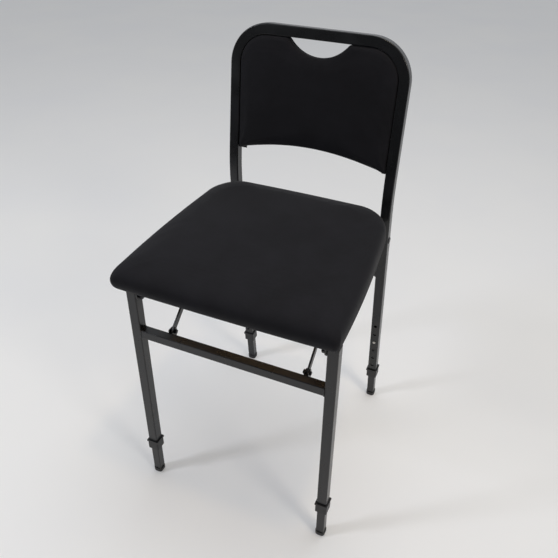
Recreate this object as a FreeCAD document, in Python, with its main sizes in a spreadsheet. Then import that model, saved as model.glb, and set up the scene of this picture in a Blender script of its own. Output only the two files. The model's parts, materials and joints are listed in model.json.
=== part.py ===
# Folding chair on four legs of adjustable length, with an upholstered seat and back.
# Millimetres. +Z is up and -Y is the front. In the names, left is the -X side: the left of a viewer in front.
# The origin is on the floor, under the middle of the whole chair.
import FreeCAD, Part
import math
import os

import Sketcher
from FreeCAD import Placement, Rotation, Vector

X_AXIS = Vector(1, 0, 0)
Y_AXIS = Vector(0, 1, 0)
Z_AXIS = Vector(0, 0, 1)
SIDES = {"left": -1, "right": 1}

# Driving dimensions
SIZES = {
    # square tubes of the two frames
    "tube_width": 19,
    "tube_wall": 1.2,
    "tube_corner": 2,
    "front_frame_half": 192,
    "back_frame_half": 168,
    "front_face": -194,
    "back_face_at_floor": 209,
    "back_leg_slope": 0.1165,
    "back_bend_height": 555,
    "back_bend_radius": 400,
    "back_rest_slope": 0.115,
    "back_top_centre": 826,
    "back_corner_radius": 64.5,
    # cross bars
    "bar_width": 17,
    "bar_wall": 1.2,
    "bar_top": 389.5,
    # telescopic legs
    "front_tube_end": 80,
    "back_tube_end": 76,
    "inner_width": 15.8,
    "inner_wall": 1.2,
    "inner_corner": 1.5,
    "hole_diameter": 7,
    "hole_pitch": 25,
    "hole_count": 6,
    "first_hole": 34,
    "rest_hole": 3,
    "inner_above_button": 45,
    "glide_height": 11,
    "glide_width": 19,
    "glide_round": 4.5,
    "glide_plug": 14,
    "collar_wall": 2,
    "collar_overlap": 18,
    "collar_lip": 6,
    "collar_running_gap": 0.15,
    "rim_height": 4,
    "rim_proud": 0.7,
    # sprung buttons
    "button_diameter": 6.4,
    "button_proud": 1.3,
    "clip_gap": 0.2,
    "loop_radius": 2.8,
    "leaf_above": 30,
    "leaf_below": 8,
    "strip_width": 8,
    "strip_thickness": 0.8,
    # seat
    "seat_front_half": 201.8,
    "seat_rear_half": 177.6,
    "seat_nose": -227.7,
    "seat_back_edge": 134,
    "seat_front_corner": 18,
    "seat_rear_corner": 52,
    "seat_underside": 486,
    "seat_rise": 20.75,
    "board_front_half": 184,
    "board_rear_half": 160,
    "board_front": -196,
    "board_back": 119,
    "board_thickness": 12,
    "bracket_thickness": 3,
    "bracket_width": 20,
    "flange_reach": 30,
    "arm_reach": 78,
    "arm_depth": 15,
    "pivot_height": 464,
    "back_pivot_from_front": 358.5,
    "pivot_diameter": 8,
    "pivot_clearance": 0.1,
    "stud_head": 13,
    "nut_across": 13,
    "nut_thickness": 6,
    "washer_diameter": 16,
    "washer_thickness": 1,
    # braces
    "brace_side": 128,
    "brace_shift": 6.5,
    "brace_thickness": 3.5,
    "brace_depth": 10,
    "brace_length": 113,
    "brace_rise": 39.6,
    "brace_back": 25.5,
    "brace_height": 388,
    "brace_pin": 6,
    "brace_bolt": 5,
    "leg_fold_angle": 88,
    "brace_fold_angle": 41.6,
    "clevis_wall": 2,
    "clevis_gap": 0.3,
    "clevis_base": 1.5,
    "guide_thickness": 2.5,
    "guide_gap": 1.2,
    "slot_width": 7.4,
    # back rest
    "pad_half": 148.5,
    "pad_bottom": 50.6,
    "pad_arch": 21,
    "pad_top": 262.8,
    "pad_corner": 54,
    "pad_proud": 3.5,
    "pad_thickness": 14,
    "pad_edge_round": 5,
    "panel_thickness": 6,
    "hand_hole_width": 113,
    "hand_hole_depth": 29,
    "tab_width": 11,
    "tab_height": 26,
    "tab_thickness": 2,
    "screw_head": 8,
    "screw_diameter": 4,
}

doc = FreeCAD.newDocument("chair")
sheet = doc.addObject("Spreadsheet::Sheet", "Sizes")
for row, (alias, value) in enumerate(SIZES.items(), start=1):
    sheet.set(f"A{row}", alias)
    sheet.set(f"B{row}", str(value))
    sheet.setAlias(f"B{row}", alias)
doc.recompute()


def size(alias):
    """The number that the sheet holds under that name."""
    return float(sheet.get(alias))


nodes = []


def keep(thing, label, placement=None):
    """Names a finished sub-part, puts it in its place and lists it for writing."""
    thing.Label = label
    if placement is not None:
        thing.Placement = placement
    nodes.append(thing)
    return thing


# Helpers for sketched bodies
def new_body(name):
    return doc.addObject("PartDesign::Body", name + "_body")


def origin_feature(body, role):
    return next(f for f in body.Origin.OriginFeatures if f.Role == role)


def new_sketch(body, name, role, offset=0.0):
    sketch = body.newObject("Sketcher::SketchObject", name)
    sketch.AttachmentSupport = [(origin_feature(body, role), "")]
    sketch.MapMode = "FlatFace"
    sketch.AttachmentOffset = Placement(Vector(0, 0, offset), Rotation())
    return sketch


def distance(sketch, kind, first, second, value):
    """A sketch distance that follows a formula of the sheet's names, or a fixed number."""
    start = 1.0 if isinstance(value, str) else value
    index = sketch.addConstraint(Sketcher.Constraint(kind, *first, *second, start))
    if isinstance(value, str):
        sketch.setExpression(f"Constraints[{index}]", formula(value))


def formula(words):
    """Puts the sheet's name before each of its aliases in a formula."""
    return " ".join("Sizes." + w if w in SIZES else w for w in words.split())


def number(value):
    """What a formula of the sheet's names comes to: products and sums, with a space round each sign."""
    if not isinstance(value, str):
        return value
    total, term, sign, action = 0.0, None, 1, "*"
    for word in value.split():
        if word in ("+", "-"):
            total += sign * term
            sign = 1 if word == "+" else -1
            term = None
        elif word in ("*", "/"):
            action = word
        else:
            operand = size(word) if word in SIZES else float(word)
            if term is None:
                term = operand
            else:
                term = term * operand if action == "*" else term / operand
    return total + sign * term


def add_rectangle(sketch, width, depth, centre=(0.0, 0.0)):
    """A rectangle about a centre, with its two sizes tied to the sheet."""
    half_w = number(width) / 2
    half_d = number(depth) / 2
    corners = [
        Vector(centre[0] + sx * half_w, centre[1] + sy * half_d, 0)
        for sx, sy in ((-1, -1), (1, -1), (1, 1), (-1, 1))
    ]
    first = sketch.GeometryCount
    for a, b in zip(corners, corners[1:] + corners[:1]):
        sketch.addGeometry(Part.LineSegment(a, b), False)
    for side in range(4):
        here = first + side
        after = first + (side + 1) % 4
        sketch.addConstraint(Sketcher.Constraint("Coincident", here, 2, after, 1))
        sketch.addConstraint(Sketcher.Constraint("Horizontal" if side % 2 == 0 else "Vertical", here))
    distance(sketch, "DistanceX", (first, 1), (first, 2), width)
    distance(sketch, "DistanceY", (first + 1, 1), (first + 1, 2), depth)
    middle = sketch.addGeometry(Part.Point(Vector(centre[0], centre[1], 0)), True)
    sketch.addConstraint(Sketcher.Constraint("Symmetric", first, 1, first + 2, 1, middle, 1))
    pin_down(sketch, middle, 1, centre)


def pin_down(sketch, geometry, vertex, centre):
    """Holds a point of the sketch at its place from the sketch's origin."""
    if centre[0] == 0 and centre[1] == 0:
        sketch.addConstraint(Sketcher.Constraint("Coincident", geometry, vertex, -1, 1))
        return
    sketch.addConstraint(Sketcher.Constraint("DistanceX", -1, 1, geometry, vertex, centre[0]))
    sketch.addConstraint(Sketcher.Constraint("DistanceY", -1, 1, geometry, vertex, centre[1]))


def add_circle(sketch, diameter, centre=(0.0, 0.0)):
    """A circle with its diameter tied to the sheet."""
    circle = Part.Circle(Vector(centre[0], centre[1], 0), Z_AXIS, number(diameter) / 2)
    index = sketch.addGeometry(circle, False)
    here = sketch.addConstraint(Sketcher.Constraint("Diameter", index, number(diameter)))
    if isinstance(diameter, str):
        sketch.setExpression(f"Constraints[{here}]", formula(diameter))
    pin_down(sketch, index, 3, centre)


def add_feature(body, kind, name, sketch, length, both_ways=False, reverse=False):
    """A pad or pocket of a sketch, its length tied to the sheet."""
    feature = body.newObject("PartDesign::" + kind, name)
    feature.Profile = sketch
    feature.Length = number(length)
    if isinstance(length, str):
        feature.setExpression("Length", formula(length))
    feature.Midplane = both_ways
    feature.Reversed = reverse
    sketch.Visibility = False
    doc.recompute()
    return feature


def pad(body, name, sketch, length, both_ways=False, reverse=False):
    return add_feature(body, "Pad", name, sketch, length, both_ways, reverse)


def pocket(body, name, sketch, length, both_ways=False, reverse=False):
    """A pocket, with proof that it took material away."""
    before = body.Shape.Volume
    feature = add_feature(body, "Pocket", name, sketch, length, both_ways, reverse)
    if not feature.Shape.Volume < before - 0.01:
        raise RuntimeError(f"{body.Name}: {name} cuts nothing")
    return feature


def edges_along(shape, direction, at_least=0.0, where=lambda point: True):
    """Names of the straight edges along a direction whose middle passes a test."""
    found = []
    for number_of, edge in enumerate(shape.Edges, start=1):
        if not isinstance(edge.Curve, Part.Line) or edge.Length < at_least:
            continue
        along = edge.tangentAt(edge.FirstParameter)
        middle = edge.valueAt((edge.FirstParameter + edge.LastParameter) / 2)
        if abs(along.dot(direction)) > 0.999 and where(middle):
            found.append(f"Edge{number_of}")
    return found


def round_edges(body, name, edges, radius, kind="Fillet"):
    """Rounds or bevels named edges of the body's last feature."""
    base = body.Tip
    feature = body.newObject("PartDesign::" + kind, name)
    feature.Base = (base, edges)
    alias_of = "Radius" if kind == "Fillet" else "Size"
    setattr(feature, alias_of, number(radius))
    if isinstance(radius, str):
        feature.setExpression(alias_of, formula(radius))
    body.Tip = feature
    doc.recompute()
    return feature


def repeat_along(body, name, feature, role, spacing, count):
    """Repeats a feature in a straight row."""
    row = body.newObject("PartDesign::LinearPattern", name)
    row.Originals = [feature]
    row.Direction = (origin_feature(body, role), [""])
    row.Occurrences = int(number(count))
    row.Length = number(spacing) * (row.Occurrences - 1)
    body.Tip = row
    doc.recompute()
    return row


def finished(shape, label):
    """A sub-part whose shape no sketched body or primitive gives."""
    if len(shape.Solids) == 1 and shape.ShapeType != "Solid":
        shape = shape.Solids[0]
    thing = doc.addObject("Part::Feature", label)
    thing.Shape = shape
    return keep(thing, label)


# Places that several sub-parts share
HALF_TUBE = size("tube_width") / 2
BORE = size("tube_width") - 2 * size("tube_wall")
LEAN = math.atan(size("back_leg_slope"))
RECLINE = math.atan(size("back_rest_slope"))
FRONT_LEG_X = size("front_frame_half") - HALF_TUBE
BACK_LEG_X = size("back_frame_half") - HALF_TUBE
FRONT_LEG_Y = size("front_face") + HALF_TUBE
BACK_LEG_Y = size("back_face_at_floor") + HALF_TUBE / math.cos(LEAN)
PIVOT_Z = size("pivot_height")
BACK_PIVOT_Y = size("front_face") + size("back_pivot_from_front")
LEAN_TURN = Rotation(X_AXIS, math.degrees(LEAN))
RECLINE_TURN = Rotation(X_AXIS, -math.degrees(RECLINE))


def back_leg_y(height):
    """Y of the centre line of the back legs at a height below the bend."""
    return BACK_LEG_Y - size("back_leg_slope") * height


BEND = Vector(0, back_leg_y(size("back_bend_height")), size("back_bend_height"))
BACK_UP = Vector(0, math.sin(RECLINE), math.cos(RECLINE))
BACK_FORWARD = Vector(0, -math.cos(RECLINE), math.sin(RECLINE))
# The back rest's own frame: X across, Y up the slope, Z forward out of the pad
BACK_PLANE = Placement(BEND, Rotation(X_AXIS, BACK_UP, BACK_FORWARD, "ZXY"))


def leg_place(end, side):
    """Placement of a leg's own frame: the origin on the floor, Z up the leg."""
    if end == "front":
        return Placement(Vector(side * FRONT_LEG_X, FRONT_LEG_Y, 0), Rotation())
    return Placement(Vector(side * BACK_LEG_X, BACK_LEG_Y, 0), LEAN_TURN)


def tube_end(end):
    return size(end + "_tube_end")


def button_height(end):
    """Height up the leg of the hole that the button stands in at rest."""
    return tube_end(end) + size("first_hole") + size("rest_hole") * size("hole_pitch")


def bolt_turn(side):
    """Turns a piece modelled along +Z so that it points outwards along X."""
    return Rotation(Z_AXIS, X_AXIS * side)


# Bent back frame
def square_face(width, corner, at, across, along):
    """A flat square standing across a path, with round corners or, where corner is 0, sharp ones."""
    half = width / 2
    if not corner:
        spots = [at + across * (half * a) + along * (half * b) for a, b in ((1, 1), (-1, 1), (-1, -1), (1, -1))]
        return Part.Face(Part.makePolygon([*spots, spots[0]]))
    reach = half - corner
    bulge = half - corner * (1 - math.sqrt(0.5))
    edges = []
    for u, v in ((across, along), (along, -across), (-across, -along), (-along, across)):
        low, high = at + u * half - v * reach, at + u * half + v * reach
        after = at + u * reach + v * half
        edges.append(Part.LineSegment(low, high).toShape())
        edges.append(Part.Arc(high, at + (u + v) * bulge, after).toShape())
    return Part.Face(Part.Wire(edges))


def bent_solid(width, corner, overrun):
    """The inverted U of the back frame as a solid bar: straight legs, a gentle bend and two corners."""
    leg_up = Vector(0, -math.sin(LEAN), math.cos(LEAN))
    turn = LEAN + RECLINE
    bend_reach = size("back_bend_radius") * math.tan(turn / 2)
    corner_radius = size("back_corner_radius")
    rest_length = (size("back_top_centre") - BEND.z) / BACK_UP.z
    foot = Vector(BACK_LEG_X, BACK_LEG_Y, 0) + leg_up * (tube_end("back") - overrun)
    knee = Vector(BACK_LEG_X, BEND.y, BEND.z)
    across = X_AXIS
    pieces = []
    # leg up to the bend
    face = square_face(width, corner, foot, across, X_AXIS.cross(leg_up))
    leg_run = (knee - foot).Length - bend_reach
    pieces.append(face.extrude(leg_up * leg_run))
    # gentle bend backwards
    start = foot + leg_up * leg_run
    away = Vector(0, math.cos(LEAN), math.sin(LEAN))
    centre = start + away * size("back_bend_radius")
    face = square_face(width, corner, start, across, X_AXIS.cross(leg_up))
    pieces.append(face.revolve(centre, X_AXIS, -math.degrees(turn)))
    # straight side of the back rest
    start = knee + BACK_UP * bend_reach
    side_run = rest_length - bend_reach - corner_radius
    face = square_face(width, corner, start, across, X_AXIS.cross(BACK_UP))
    pieces.append(face.extrude(BACK_UP * side_run))
    # top corner and half of the top
    start = start + BACK_UP * side_run
    centre = start - X_AXIS * corner_radius
    face = square_face(width, corner, start, across, X_AXIS.cross(BACK_UP))
    pieces.append(face.revolve(centre, BACK_FORWARD, 90))
    start = centre + BACK_UP * corner_radius
    face = square_face(width, corner, start, BACK_UP, BACK_FORWARD)
    pieces.append(face.extrude(-X_AXIS * start.x))
    half = pieces[0].multiFuse(pieces[1:])
    whole = half.fuse(half.mirror(Vector(0, 0, 0), X_AXIS))
    return whole.removeSplitter()


def make_back_frame():
    """Bent square tube with the adjuster holes and the seat's pivot holes."""
    tube = bent_solid(size("tube_width"), size("tube_corner"), 0)
    tube = tube.cut(bent_solid(BORE, 0, 1))
    cuts = []
    for side in SIDES.values():
        place = leg_place("back", side)
        for hole in range(int(size("hole_count"))):
            height = tube_end("back") + size("first_hole") + hole * size("hole_pitch")
            cut = Part.makeCylinder(
                size("hole_diameter") / 2, HALF_TUBE + 1, Vector(0, 0, height), -Y_AXIS
            )
            cut.Placement = place.multiply(cut.Placement)
            cuts.append(cut)
        radius = (size("pivot_diameter") + size("pivot_clearance")) / 2
        start = Vector(side * (BACK_LEG_X - size("tube_width")), BACK_PIVOT_Y, PIVOT_Z)
        cuts.append(Part.makeCylinder(radius, 2 * size("tube_width"), start, X_AXIS * side))
    finished(tube.cut(cuts), "back_frame_tube")


def make_crossbar(label, half_length, placement):
    """Square tube cut square at both ends."""
    body = new_body(label)
    sketch = new_sketch(body, label + "_section", "YZ_Plane")
    add_rectangle(sketch, "bar_width", "bar_width")
    add_rectangle(sketch, "bar_width - 2 * bar_wall", "bar_width - 2 * bar_wall")
    pad(body, label + "_tube", sketch, 2 * half_length, both_ways=True)
    limit = size("bar_width") / 2 - 0.1
    outer = edges_along(body.Shape, X_AXIS, where=lambda p: abs(p.y) > limit and abs(p.z) > limit)
    round_edges(body, label + "_corners", outer, 1.5)
    keep(body, label, placement)


def make_crossbars():
    """One bar between the front legs and one between the back legs, at one height."""
    middle_z = size("bar_top") - size("bar_width") / 2
    front_y = size("front_face") + size("bar_width") / 2
    front_half = size("front_frame_half") - size("tube_width")
    make_crossbar("front_crossbar", front_half, Placement(Vector(0, front_y, middle_z), Rotation()))
    back_half = size("back_frame_half") - size("tube_width")
    back = Placement(Vector(0, back_leg_y(middle_z), middle_z), LEAN_TURN)
    make_crossbar("rear_crossbar", back_half, back)


def make_front_leg(side_name, side):
    """Front leg tube: adjuster holes in its rear wall, a pivot hole in its inner wall."""
    label = "front_leg_tube_" + side_name
    body = new_body(label)
    length = PIVOT_Z + 8 - tube_end("front")
    sketch = new_sketch(body, label + "_section", "XY_Plane")
    add_rectangle(sketch, "tube_width", "tube_width")
    add_rectangle(sketch, "tube_width - 2 * tube_wall", "tube_width - 2 * tube_wall")
    pad(body, label + "_tube", sketch, length)
    limit = HALF_TUBE - 0.1
    outer = edges_along(body.Shape, Z_AXIS, where=lambda p: abs(p.x) > limit and abs(p.y) > limit)
    round_edges(body, label + "_corners", outer, "tube_corner")
    holes = new_sketch(body, label + "_adjuster", "XZ_Plane")
    add_circle(holes, "hole_diameter", (0.0, size("first_hole")))
    hole = pocket(body, label + "_adjuster_hole", holes, "tube_width")
    repeat_along(body, label + "_adjuster_row", hole, "Z_Axis", "hole_pitch", "hole_count")
    pivot = new_sketch(body, label + "_pivot", "YZ_Plane")
    add_circle(pivot, "pivot_diameter + pivot_clearance", (0.0, PIVOT_Z - tube_end("front")))
    pocket(body, label + "_pivot_hole", pivot, "tube_width", reverse=side < 0)
    place = leg_place("front", side)
    keep(body, label, place.multiply(Placement(Vector(0, 0, tube_end("front")), Rotation())))


def make_leg_cap(side_name, side):
    """Plastic plug in the open top of a front leg."""
    label = "front_leg_cap_" + side_name
    body = new_body(label)
    head = new_sketch(body, label + "_head", "XY_Plane")
    add_rectangle(head, "tube_width", "tube_width")
    pad(body, label + "_head_pad", head, 2)
    round_edges(body, label + "_corners", edges_along(body.Shape, Z_AXIS), "tube_corner")
    plug = new_sketch(body, label + "_plug", "XY_Plane")
    add_rectangle(plug, "tube_width - 2 * tube_wall - 0.2", "tube_width - 2 * tube_wall - 0.2")
    pad(body, label + "_plug_pad", plug, 1.2, reverse=True)
    keep(body, label, Placement(Vector(side * FRONT_LEG_X, FRONT_LEG_Y, PIVOT_Z + 8), Rotation()))


# Telescopic legs
def make_collar(end, side_name, side):
    """Plastic sleeve on a tube's end: a wide rim on top, and a lip that steps in to the inner leg."""
    label = f"leg_collar_{end}_{side_name}"
    body = new_body(label)
    outer = new_sketch(body, label + "_outside", "XY_Plane")
    add_rectangle(outer, "tube_width + 2 * collar_wall", "tube_width + 2 * collar_wall")
    pad(body, label + "_sleeve", outer, "collar_overlap + collar_lip")
    round_edges(body, label + "_corners", edges_along(body.Shape, Z_AXIS), 2.5)
    rim = new_sketch(body, label + "_rim", "XY_Plane", size("collar_overlap") + size("collar_lip"))
    rim_width = "tube_width + 2 * collar_wall + 2 * rim_proud"
    add_rectangle(rim, rim_width, rim_width)
    pad(body, label + "_rim_pad", rim, "rim_height", reverse=True)
    bore = new_sketch(body, label + "_bore", "XY_Plane", size("collar_lip"))
    add_rectangle(bore, "tube_width", "tube_width")
    pocket(body, label + "_tube_bore", bore, "collar_overlap + collar_lip", reverse=True)
    lip = new_sketch(body, label + "_lip", "XY_Plane")
    lip_width = "inner_width + 2 * collar_running_gap"
    add_rectangle(lip, lip_width, lip_width)
    pocket(body, label + "_leg_bore", lip, "collar_overlap", reverse=True)
    floor_edges = [
        name
        for axis in (X_AXIS, Y_AXIS)
        for name in edges_along(body.Shape, axis, 15, lambda p: p.z < 0.1 and max(abs(p.x), abs(p.y)) > 11)
    ]
    round_edges(body, label + "_bevel", floor_edges, 1.2, "Chamfer")
    place = leg_place(end, side)
    start = tube_end(end) - size("collar_lip")
    keep(body, label, place.multiply(Placement(Vector(0, 0, start), Rotation())))


def make_inner_leg(end, side_name, side):
    """Square tube that slides in a leg, with the button's hole near its top."""
    label = f"inner_leg_{end}_{side_name}"
    body = new_body(label)
    bottom = size("glide_height")
    length = button_height(end) + size("inner_above_button") - bottom
    sketch = new_sketch(body, label + "_section", "XY_Plane")
    add_rectangle(sketch, "inner_width", "inner_width")
    add_rectangle(sketch, "inner_width - 2 * inner_wall", "inner_width - 2 * inner_wall")
    pad(body, label + "_tube", sketch, length)
    limit = size("inner_width") / 2 - 0.1
    outer = edges_along(body.Shape, Z_AXIS, where=lambda p: abs(p.x) > limit and abs(p.y) > limit)
    round_edges(body, label + "_corners", outer, "inner_corner")
    hole = new_sketch(body, label + "_button", "XZ_Plane")
    add_circle(hole, "hole_diameter", (0.0, button_height(end) - bottom))
    pocket(body, label + "_button_hole", hole, "inner_width", reverse=end == "back")
    place = leg_place(end, side)
    keep(body, label, place.multiply(Placement(Vector(0, 0, bottom), Rotation())))


def make_glide(end, side_name, side):
    """Rounded plastic foot with a plug that goes up into the inner leg, flat where it meets the floor."""
    label = f"glide_{end}_{side_name}"
    body = new_body(label)
    lean = LEAN if end == "back" else 0.0
    extra = size("glide_width") / 2 * math.tan(lean)
    head = new_sketch(body, label + "_head", "XY_Plane", size("glide_height"))
    add_rectangle(head, "glide_width", "glide_width")
    pad(body, label + "_foot", head, size("glide_height") + extra, reverse=True)
    round_edges(body, label + "_corners", edges_along(body.Shape, Z_AXIS), "glide_round + 1.5")
    lower = [
        f"Edge{n}"
        for n, edge in enumerate(body.Shape.Edges, start=1)
        if edge.BoundBox.ZMax < size("glide_height") / 2
    ]
    round_edges(body, label + "_sole_round", lower, "glide_round")
    plug = new_sketch(body, label + "_plug", "XY_Plane", size("glide_height"))
    plug_width = "inner_width - 2 * inner_wall - 0.2"
    add_rectangle(plug, plug_width, plug_width)
    pad(body, label + "_plug_pad", plug, "glide_plug")
    body.Placement = leg_place(end, side)
    floor = doc.addObject("Part::Box", label + "_floor")
    floor.Length = floor.Width = 60
    floor.Height = 20
    floor.Placement = Placement(body.Placement.Base + Vector(-30, -30, -20), Rotation())
    cut = doc.addObject("Part::Cut", label)
    cut.Base = body
    cut.Tool = floor
    keep(cut, label)


def make_snap_clip(end, side_name, side):
    """Bent spring strip inside the inner leg, with the button riveted to its free end."""
    label = f"snap_clip_{end}_{side_name}"
    thick = size("strip_thickness")
    wide = size("strip_width")
    wall_face = size("inner_width") / 2 - size("inner_wall")
    near = wall_face - size("clip_gap")
    loop_radius = size("loop_radius")
    leaf_length = size("leaf_above") + size("leaf_below")
    loop_centre = Vector(0, near - thick / 2 - loop_radius, size("leaf_above"))
    slant = math.asin((wall_face + loop_centre.y - loop_radius - thick) / leaf_length)
    # the leaf with the button, the loop at the top, and the slanted leaf that pushes on the far wall
    carrier = Part.makeBox(wide, thick, leaf_length, Vector(-wide / 2, near - thick, -size("leaf_below")))
    corner = Vector(wide / 2, near - thick, loop_centre.z)
    section = Part.makePlane(thick, wide, corner, Z_AXIS, Y_AXIS)
    loop = section.revolve(loop_centre, X_AXIS, 180 - math.degrees(slant))
    pusher = Part.makeBox(
        wide, thick, leaf_length, Vector(-wide / 2, -loop_radius - thick / 2, -leaf_length)
    )
    pusher.rotate(Vector(0, 0, 0), X_AXIS, -math.degrees(slant))
    pusher.translate(loop_centre)
    button_start = near - thick
    head = HALF_TUBE + size("button_proud")
    radius = size("button_diameter") / 2
    button = Part.makeCylinder(radius, head - button_start, Vector(0, button_start, 0), Y_AXIS)
    button = button.makeChamfer(0.8, [e for e in button.Edges if e.BoundBox.YMin > head - 0.01])
    shape = carrier.fuse([loop, pusher, button]).removeSplitter()
    half_turn = Rotation(Z_AXIS, 180 if end == "back" else 0)
    place = leg_place(end, side)
    shape.Placement = place.multiply(Placement(Vector(0, 0, button_height(end)), half_turn))
    finished(shape, label)


# Seat
def rounded_corner(corner, before, after, reach):
    """An arc that rounds a corner, touching both of its edges at a distance from it."""
    u, v = (before - corner).normalize(), (after - corner).normalize()
    half_angle = u.getAngle(v) / 2
    radius = reach * math.tan(half_angle)
    depth = radius / math.sin(half_angle) - radius
    return Part.Arc(corner + u * reach, corner + (u + v).normalize() * depth, corner + v * reach)


def cushion_outline(level):
    """One ring of the seat cushion: narrower to the rear, with bowed sides and round corners."""
    height, side_inset, front_inset, back_inset, bow = level
    front = size("seat_nose") + front_inset
    back = size("seat_back_edge") - back_inset
    whole = size("seat_back_edge") - size("seat_nose")
    # the cushion is thicker to the rear, so its rings above the board tilt up that way
    tilt = size("seat_rise") / whole * min(1, (height - size("seat_underside")) / 20)

    def spot(x, y):
        return Vector(x, y, height + tilt * (y - size("seat_nose")))

    def half_at(y):
        share = (y - size("seat_nose")) / whole
        return size("seat_front_half") + share * (size("seat_rear_half") - size("seat_front_half")) - side_inset

    corners = [
        (spot(-half_at(front), front), size("seat_front_corner")),
        (spot(half_at(front), front), size("seat_front_corner")),
        (spot(half_at(back), back), size("seat_rear_corner")),
        (spot(-half_at(back), back), size("seat_rear_corner")),
    ]
    centre = spot(0, (front + back) / 2)
    arcs = []
    for turn, (corner, reach) in enumerate(corners):
        arcs.append(rounded_corner(corner, corners[turn - 1][0], corners[(turn + 1) % 4][0], reach))
    edges = []
    for turn, arc in enumerate(arcs):
        start, end = arc.EndPoint, arcs[(turn + 1) % 4].StartPoint
        middle = (start + end) * 0.5
        # the sides bulge, the front and back edges less so
        swell = bow if turn % 2 else bow / 3
        outwards = (middle - centre).normalize()
        edges.append(arc)
        edges.append(Part.Arc(start, middle + outwards * swell, end))
    return Part.Wire([edge.toShape() for edge in edges])


def add_trapezoid(sketch, front_width, rear_width, depth, front_y):
    """A shape that narrows to the rear, even about the sketch's upright axis."""
    half_front, half_rear = number(front_width) / 2, number(rear_width) / 2
    rear_y = front_y + number(depth)
    corners = [
        Vector(-half_front, front_y, 0),
        Vector(half_front, front_y, 0),
        Vector(half_rear, rear_y, 0),
        Vector(-half_rear, rear_y, 0),
    ]
    for a, b in zip(corners, corners[1:] + corners[:1]):
        sketch.addGeometry(Part.LineSegment(a, b), False)
    for side in range(4):
        sketch.addConstraint(Sketcher.Constraint("Coincident", side, 2, (side + 1) % 4, 1))
    for line in (0, 2):
        sketch.addConstraint(Sketcher.Constraint("Symmetric", line, 1, line, 2, -2))
    distance(sketch, "DistanceX", (0, 1), (0, 2), front_width)
    distance(sketch, "DistanceX", (2, 2), (2, 1), rear_width)
    distance(sketch, "DistanceY", (0, 2), (2, 1), depth)
    sketch.addConstraint(Sketcher.Constraint("DistanceY", -1, 1, 0, 1, front_y))


def make_seat():
    """Plywood board, and the crowned cushion whose cover wraps the board's edge."""
    under = size("seat_underside")
    # height, then how far the outline stands in from the widest one: sides, front, back, and the bow
    levels = [
        (under, 12, 25, 8, 3),
        (under + 5, 6, 16, 3, 3),
        (under + 14, 1, 5, 0, 3),
        (under + 24, 0, 0, 0, 3),
        (under + 34, 2, 1.5, 1, 3),
        (under + 41.5, 7, 11, 5, 3),
        (under + 47, 17, 32, 14, 2),
        (under + 51, 38, 68, 36, 1.5),
        (under + 54, 66, 108, 68, 1),
        (under + 56, 96, 146, 108, 0.5),
    ]
    cushion = Part.makeLoft([cushion_outline(level) for level in levels], True, True)
    board = new_body("seat_board")
    outline = new_sketch(board, "seat_board_outline", "XY_Plane", under)
    depth = size("board_back") - size("board_front")
    middle = (size("board_back") + size("board_front")) / 2
    add_trapezoid(outline, "2 * board_front_half", "2 * board_rear_half", depth, size("board_front"))
    pad(board, "seat_board_panel", outline, "board_thickness")
    for end_name, corner, sign in (("front", 16, -1), ("rear", 45, 1)):
        corners = edges_along(board.Shape, Z_AXIS, where=lambda p: (p.y - middle) * sign > 0)
        round_edges(board, f"seat_board_{end_name}_corners", corners, corner)
    finished(cushion.cut(board.Shape), "seat_cushion")
    drilled = doc.addObject("Part::Cut", "seat_board")
    drilled.Base = board
    drilled.Tool = make_seat_screws()
    keep(drilled, "seat_board")


def screw(length):
    """A pan-head screw: its head hangs below the origin and its shank goes up +Z."""
    head_radius = size("screw_head") / 2
    head = Part.makeCylinder(head_radius, 2.2, Vector(0, 0, -2.2))
    head = head.makeChamfer(0.9, [e for e in head.Edges if e.BoundBox.ZMax < -2.1])
    shank = Part.makeCylinder(size("screw_diameter") / 2, length)
    return head.fuse(shank).removeSplitter()


def group(shapes, label):
    """Several equal pieces that share one node."""
    return finished(Part.makeCompound(shapes), label)


def bracket_places():
    """Where each seat bracket stands: its outer face and pivot, for each pivot and side."""
    front_x = size("front_frame_half") - size("tube_width") - size("washer_thickness")
    back_x = size("back_frame_half") - size("tube_width") - size("washer_thickness")
    places = {}
    for side_name, side in SIDES.items():
        turn = Rotation(Z_AXIS, 0 if side > 0 else 180)
        places["front_" + side_name] = Placement(Vector(side * front_x, FRONT_LEG_Y, PIVOT_Z), turn)
        places["rear_" + side_name] = Placement(Vector(side * back_x, BACK_PIVOT_Y, PIVOT_Z), turn)
    return places


def flange_middle(where):
    """How far a bracket's flange lies from its pivot along Y, in its own frame."""
    if where.startswith("front"):
        return 0.0
    return -size("arm_reach") if where.endswith("right") else size("arm_reach")


def flange_holes(where):
    """The two screw places in a bracket's flange, from its pivot, in its own frame."""
    x = -size("flange_reach") * 0.65
    y = flange_middle(where)
    return [(x, y + size("bracket_width") / 4), (x, y - size("bracket_width") / 4)]


def guide_holes(side):
    """The two screw places in a brace guide's flange: distance from the middle plane, and Y."""
    across = guide_distance(side) - 14
    return [(across, GUIDE_FRONT + 14), (across, GUIDE_BACK - 14)]


def make_seat_screws():
    """All the screws that hold brackets and guides under the seat board."""
    length = size("bracket_thickness") + 9
    start_z = size("seat_underside") - size("bracket_thickness")
    shapes = []
    for where, place in bracket_places().items():
        for x, y in flange_holes(where):
            one = screw(length)
            rise = start_z - PIVOT_Z
            one.Placement = place.multiply(Placement(Vector(x, y, rise), Rotation()))
            shapes.append(one)
    for side in SIDES.values():
        for x, y in guide_holes(side):
            one = screw(length)
            one.translate(Vector(side * x, y, start_z))
            shapes.append(one)
    return group(shapes, "seat_screws")


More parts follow.
